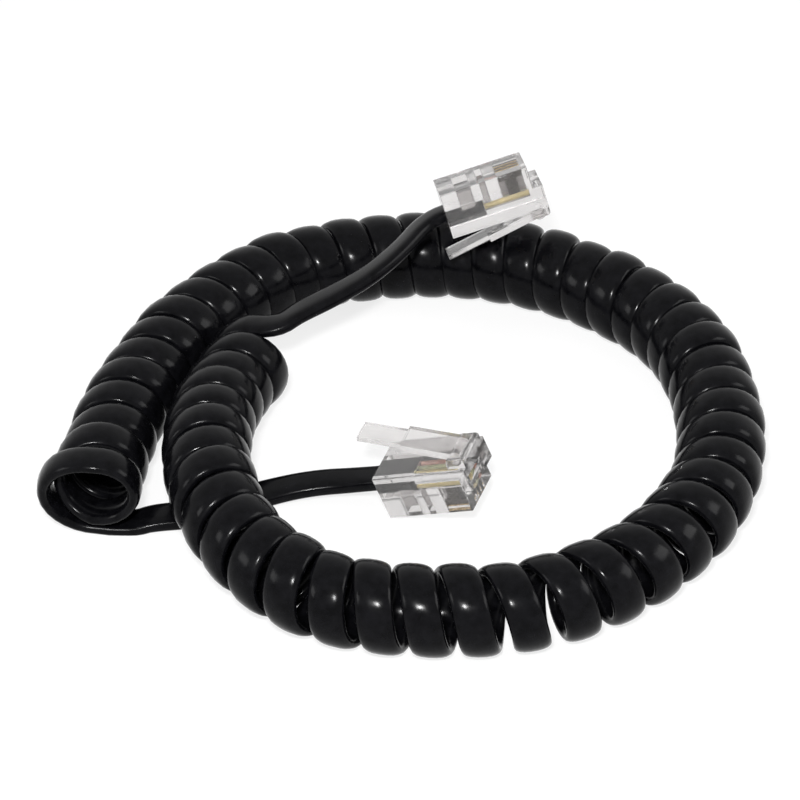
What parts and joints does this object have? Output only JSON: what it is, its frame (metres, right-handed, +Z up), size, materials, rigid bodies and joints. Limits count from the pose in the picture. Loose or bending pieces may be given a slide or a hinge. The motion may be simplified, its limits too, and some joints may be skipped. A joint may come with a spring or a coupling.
{
  "type": "coiled telephone handset cord",
  "caption": "Curly flat telephone handset cord lying in a loop, with a clear modular plug on each tail; each plug has a sprung latch, gold contacts and crimped wires.",
  "frame": {"origin": "middle of the whole part's box on the surface that it lies on", "axes": "+Z up, -Y towards the viewer of the picture, +X to the viewer's right"},
  "size_m": [0.096, 0.0925, 0.0246],
  "materials": {
    "cord_jacket": "glossy black soft PVC",
    "clear_plastic": "clear moulded polycarbonate",
    "contact_metal": "gold-plated blade",
    "wire_black": "insulated conductor",
    "wire_red": "insulated conductor",
    "wire_green": "insulated conductor",
    "wire_yellow": "insulated conductor"
  },
  "bodies": {
    "cord": {"coiled_cord": "cord_jacket", "plug_a_tail": "cord_jacket", "plug_a_housing": "clear_plastic", "plug_a_jacket_bar": "clear_plastic", "plug_a_wire_bar": "clear_plastic", "plug_a_contact_1": "contact_metal", "plug_a_contact_2": "contact_metal", "plug_a_contact_3": "contact_metal", "plug_a_contact_4": "contact_metal", "plug_a_wire_1": "wire_black", "plug_a_wire_2": "wire_red", "plug_a_wire_3": "wire_green", "plug_a_wire_4": "wire_yellow", "plug_b_tail": "cord_jacket", "plug_b_housing": "clear_plastic", "plug_b_jacket_bar": "clear_plastic", "plug_b_wire_bar": "clear_plastic", "plug_b_contact_1": "contact_metal", "plug_b_contact_2": "contact_metal", "plug_b_contact_3": "contact_metal", "plug_b_contact_4": "contact_metal", "plug_b_wire_1": "wire_yellow", "plug_b_wire_2": "wire_green", "plug_b_wire_3": "wire_red", "plug_b_wire_4": "wire_black"},
    "plug_a_latch": {"plug_a_latch": "clear_plastic"},
    "plug_b_latch": {"plug_b_latch": "clear_plastic"}
  },
  "joints": [
    {"name": "plug_a_latch_press", "type": "hinge", "parent": "cord", "child": "plug_a_latch", "pos_m": [0.01836, 0.03576, 0.01659], "axis": [-0.1196, 0.9551, -0.2712], "range_deg": [-9, 9], "stiffness_Nm_per_rad": 0.05},
    {"name": "plug_b_latch_press", "type": "hinge", "parent": "cord", "child": "plug_b_latch", "pos_m": [0.00717, -0.01414, 0.01213], "axis": [-0.3438, -0.9348, -0.0893], "range_deg": [0, 18], "stiffness_Nm_per_rad": 0.05}
  ]
}
